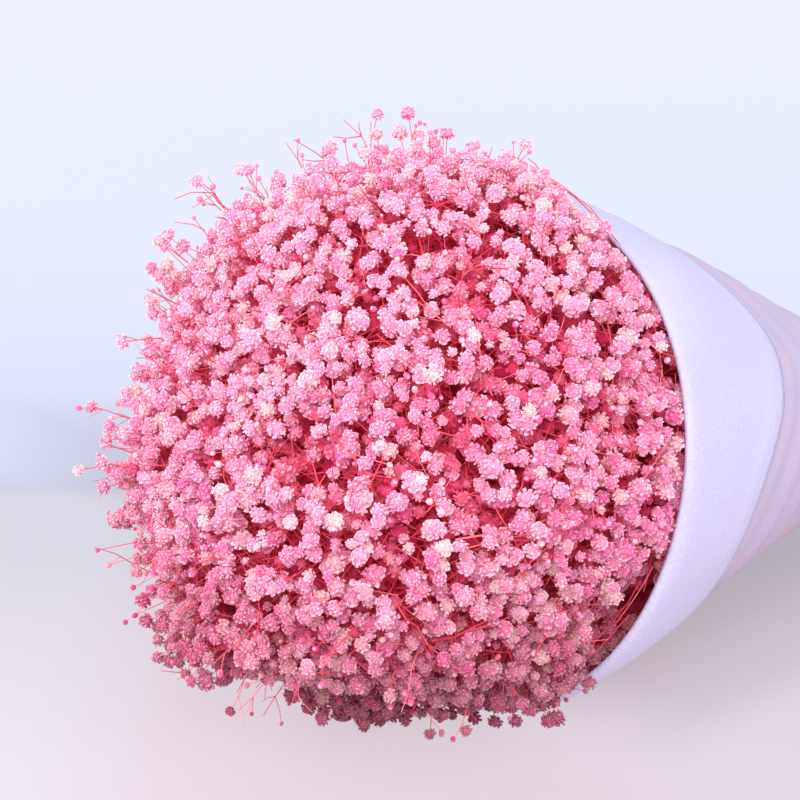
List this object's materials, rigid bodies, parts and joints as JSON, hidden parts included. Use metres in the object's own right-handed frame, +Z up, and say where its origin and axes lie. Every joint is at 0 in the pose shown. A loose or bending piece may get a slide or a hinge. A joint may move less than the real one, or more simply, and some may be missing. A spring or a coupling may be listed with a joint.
{
  "type": "bunch of dried baby's breath in a paper sleeve",
  "caption": "Bunch of pink-dyed, dried double baby's breath in a white paper cone with turned-back collar, tied at the neck; lies on its side as a display or gift piece",
  "frame": {"origin": "centre of the flat spot under the collar, where the sleeve rests on the surface", "axes": "+X along the bunch on the surface, from the flowers towards the cut stems; +Z up; +Y completes a right-handed frame"},
  "size_m": [0.6651, 0.2877, 0.2827],
  "materials": {
    "blossoms": "dry, ruffled petals, dyed pastel pink with paler and hotter tips, on crimson-dyed stems",
    "paper": "soft nonwoven wrapping paper, white with a lavender cast, matt and slightly see-through",
    "cord": "twisted straw-coloured raffia cord, matt"
  },
  "bodies": {
    "root": {"wrap": "paper", "tie": "cord", "spray_01": "blossoms", "spray_02": "blossoms", "spray_03": "blossoms", "spray_04": "blossoms", "spray_05": "blossoms", "spray_06": "blossoms", "spray_07": "blossoms", "spray_08": "blossoms", "spray_09": "blossoms", "spray_10": "blossoms", "spray_11": "blossoms", "spray_12": "blossoms", "spray_13": "blossoms"}
  },
  "joints": []
}
